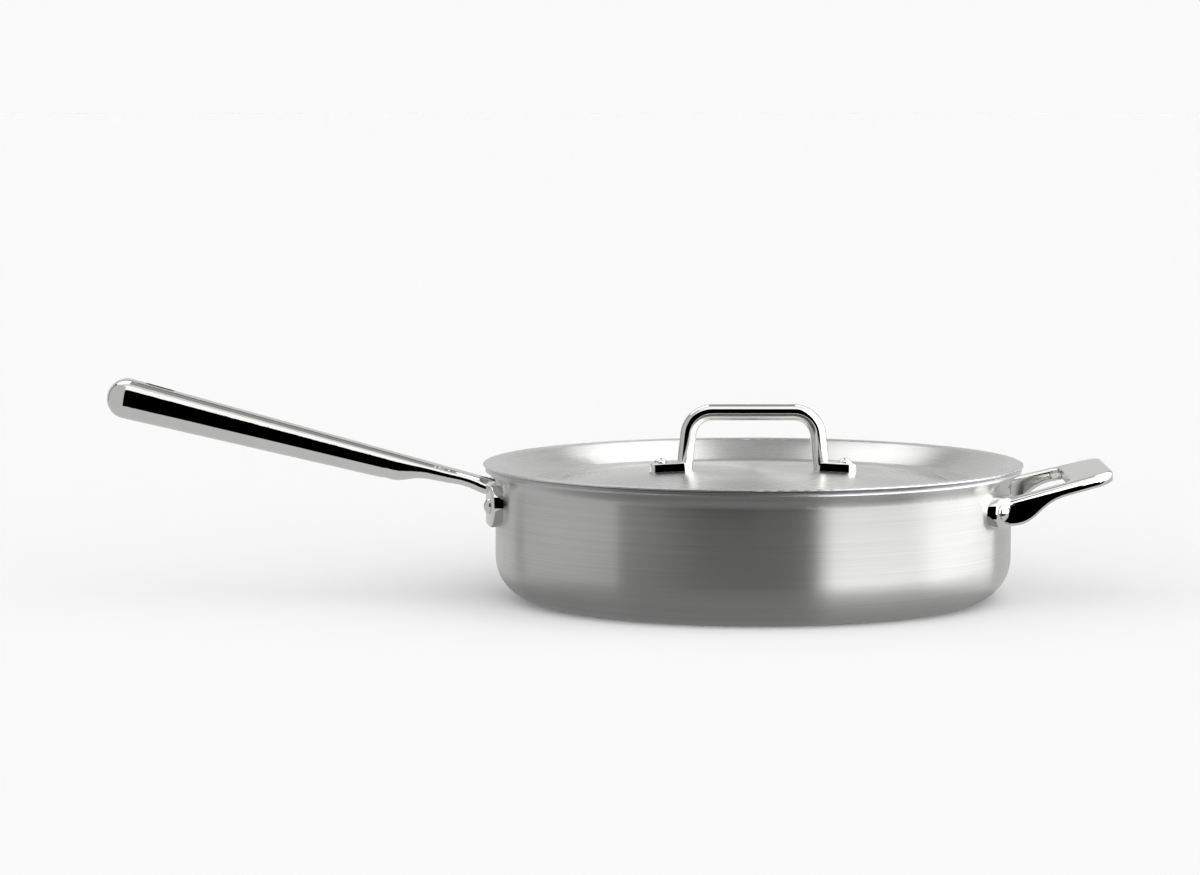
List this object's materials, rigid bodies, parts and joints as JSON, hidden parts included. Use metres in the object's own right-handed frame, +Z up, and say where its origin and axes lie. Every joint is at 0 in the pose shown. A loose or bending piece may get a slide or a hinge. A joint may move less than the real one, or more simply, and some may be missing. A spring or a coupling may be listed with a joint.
{
  "type": "saute pan with lid",
  "caption": "Straight-sided clad stainless saute pan with a long hollow handle, a helper loop handle and a recessed lid with a bent-rod grip.",
  "frame": {"origin": "middle of the flat base, where the pan stands", "axes": "+Z up along the pan's axis; the long handle points to -X and the helper handle to +X"},
  "size_m": [0.5161, 0.2786, 0.1139],
  "materials": {
    "brushed_outside": "satin, brushed round the wall",
    "aluminium_core": "plain sheet",
    "brushed_inside": "satin, brushed in circles",
    "brushed_lid": "satin, brushed in circles",
    "polished_steel": "mirror-polished stainless steel"
  },
  "bodies": {
    "pan": {"pan_outer_skin": "brushed_outside", "pan_core": "aluminium_core", "pan_inner_skin": "brushed_inside", "handle_shell": "polished_steel", "hang_hole_sleeve": "polished_steel", "handle_neck": "polished_steel", "handle_rivet_front": "polished_steel", "handle_rivet_back": "polished_steel", "helper_handle": "polished_steel", "helper_rivet_front": "polished_steel", "helper_rivet_back": "polished_steel"},
    "lid": {"lid": "brushed_lid", "lid_handle": "polished_steel", "lid_rivet_left": "polished_steel", "lid_rivet_right": "polished_steel"}
  },
  "joints": [
    {"name": "lid_lift", "type": "slide", "parent": "pan", "child": "lid", "axis": [0, 0, 1], "range_m": [0, 0.15]}
  ]
}
